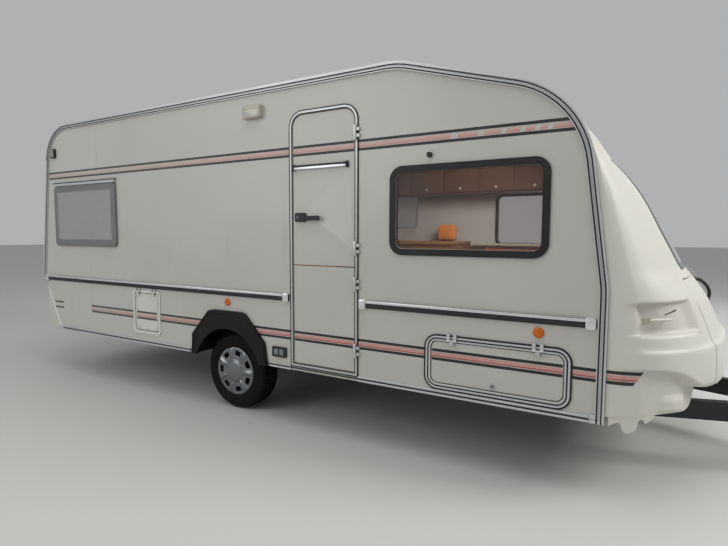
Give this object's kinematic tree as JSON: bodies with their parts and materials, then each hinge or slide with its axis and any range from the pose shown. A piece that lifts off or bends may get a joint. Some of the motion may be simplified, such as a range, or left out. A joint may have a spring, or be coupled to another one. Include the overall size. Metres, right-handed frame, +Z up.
{
  "type": "travel caravan",
  "caption": "Box-shaped touring caravan with a raked nose, two-leaf side door, tinted windows, side locker, nose lid, drawbar, jockey wheel and fold-down corner steadies.",
  "frame": {"origin": "on the ground, under the middle of the overall length and width", "axes": "+X forward to the coupling, +Y to the left, +Z up; the door is on the right side, -Y"},
  "size_m": [7.0848, 2.37, 2.5552],
  "materials": {
    "wall_paint": "satin",
    "roof_paint": "satin",
    "grp": "gloss",
    "floor_board": "matte",
    "cabinet_wood": "satin",
    "aluminium": "satin",
    "black_rubber": "matte",
    "black_plastic": "matte",
    "tinted_pane": "gloss",
    "orange_lens": "gloss",
    "red_lens": "gloss",
    "lamp_housing": "satin",
    "dark_steel": "satin",
    "galvanised": "satin",
    "tyre": "matte",
    "rim_paint": "satin",
    "trim_silver": "satin",
    "cloth": "matte",
    "light_plastic": "satin"
  },
  "bodies": {
    "caravan": {"side_wall_right": "wall_paint", "side_wall_left": "wall_paint", "roof_panel": "roof_paint", "rear_wall": "wall_paint", "rear_moulding": "grp", "floor_panel": "floor_board", "front_panel": "grp", "gas_locker": "cabinet_wood", "window_seals": "black_rubber", "window_panes": "tinted_pane", "front_window": "tinted_pane", "window_rails": "aluminium", "edge_rails": "aluminium", "skirt_rails": "aluminium", "belt_rails": "black_plastic", "wheel_spats": "black_plastic", "wheel_boxes": "black_plastic", "opening_frames": "aluminium", "hinge_pins": "aluminium", "side_markers": "orange_lens", "rear_lamps": "red_lens", "roof_lamps": "lamp_housing", "side_fittings": "black_plastic", "roof_hatches": "light_plastic", "grab_handles": "light_plastic", "chassis_rails": "dark_steel", "cross_members": "dark_steel", "drawbar_arms": "dark_steel", "axle": "dark_steel", "coupling": "dark_steel", "handbrake": "dark_steel", "jockey_post": "galvanised", "steady_brackets": "galvanised", "seat_bases": "cabinet_wood", "cushions": "cloth", "dinette_table": "cabinet_wood", "kitchen_unit": "cabinet_wood", "wardrobe": "cabinet_wood"},
    "wheel_right_body": {"tyre_right": "tyre", "wheel_right": "rim_paint", "trim_right": "trim_silver"},
    "wheel_left_body": {"tyre_left": "tyre", "wheel_left": "rim_paint", "trim_left": "trim_silver"},
    "jockey_fork_body": {"jockey_fork": "galvanised"},
    "jockey_wheel_body": {"jockey_wheel": "black_rubber"},
    "door_upper_body": {"door_upper": "wall_paint"},
    "door_lower_body": {"door_lower": "wall_paint"},
    "locker_flap_body": {"locker_flap": "wall_paint"},
    "service_hatch_body": {"service_hatch": "light_plastic"},
    "gas_lid_body": {"gas_lid": "grp", "lid_hinges": "aluminium", "lid_handle": "black_plastic"},
    "steady_front_right_body": {"steady_front_right": "galvanised"},
    "steady_front_left_body": {"steady_front_left": "galvanised"},
    "steady_rear_right_body": {"steady_rear_right": "galvanised"},
    "steady_rear_left_body": {"steady_rear_left": "galvanised"}
  },
  "joints": [
    {"name": "wheel_right_spin", "type": "hinge", "parent": "caravan", "child": "wheel_right_body", "pos_m": [-0.8775, -0.992, 0.305], "axis": [0, 1, 0], "continuous": true},
    {"name": "wheel_left_spin", "type": "hinge", "parent": "caravan", "child": "wheel_left_body", "pos_m": [-0.8775, 0.992, 0.305], "axis": [0, 1, 0], "continuous": true},
    {"name": "jockey_swivel", "type": "hinge", "parent": "caravan", "child": "jockey_fork_body", "pos_m": [3.1075, -0.15, 0.3], "axis": [0, 0, 1], "continuous": true},
    {"name": "jockey_roll", "type": "hinge", "parent": "jockey_fork_body", "child": "jockey_wheel_body", "pos_m": [3.0625, -0.15, 0.1], "axis": [0, 1, 0], "continuous": true},
    {"name": "door_upper_hinge", "type": "hinge", "parent": "caravan", "child": "door_upper_body", "pos_m": [0.2905, -1.164, 1.67], "axis": [0, 0, 1], "range_deg": [0, 165]},
    {"name": "door_lower_hinge", "type": "hinge", "parent": "caravan", "child": "door_lower_body", "pos_m": [0.2905, -1.164, 0.845], "axis": [0, 0, 1], "range_deg": [0, 165]},
    {"name": "locker_flap_hinge", "type": "hinge", "parent": "caravan", "child": "locker_flap_body", "pos_m": [1.2025, -1.164, 0.765], "axis": [-1, 0, 0], "range_deg": [0, 110]},
    {"name": "service_hatch_hinge", "type": "hinge", "parent": "caravan", "child": "service_hatch_body", "pos_m": [-1.8585, -1.164, 0.879], "axis": [-1, 0, 0], "range_deg": [0, 110]},
    {"name": "gas_lid_hinge", "type": "hinge", "parent": "caravan", "child": "gas_lid_body", "pos_m": [2.18084, 0, 1.15795], "axis": [0, -1, 0], "range_deg": [0, 75]},
    {"name": "steady_front_right_swing", "type": "hinge", "parent": "caravan", "child": "steady_front_right_body", "pos_m": [1.3125, -0.8, 0.372], "axis": [0, 1, 0], "range_deg": [0, 50]},
    {"name": "steady_front_left_swing", "type": "hinge", "parent": "caravan", "child": "steady_front_left_body", "pos_m": [1.3125, 0.8, 0.372], "axis": [0, 1, 0], "range_deg": [0, 50]},
    {"name": "steady_rear_right_swing", "type": "hinge", "parent": "caravan", "child": "steady_rear_right_body", "pos_m": [-2.8075, -0.8, 0.372], "axis": [0, -1, 0], "range_deg": [0, 50]},
    {"name": "steady_rear_left_swing", "type": "hinge", "parent": "caravan", "child": "steady_rear_left_body", "pos_m": [-2.8075, 0.8, 0.372], "axis": [0, -1, 0], "range_deg": [0, 50]}
  ]
}
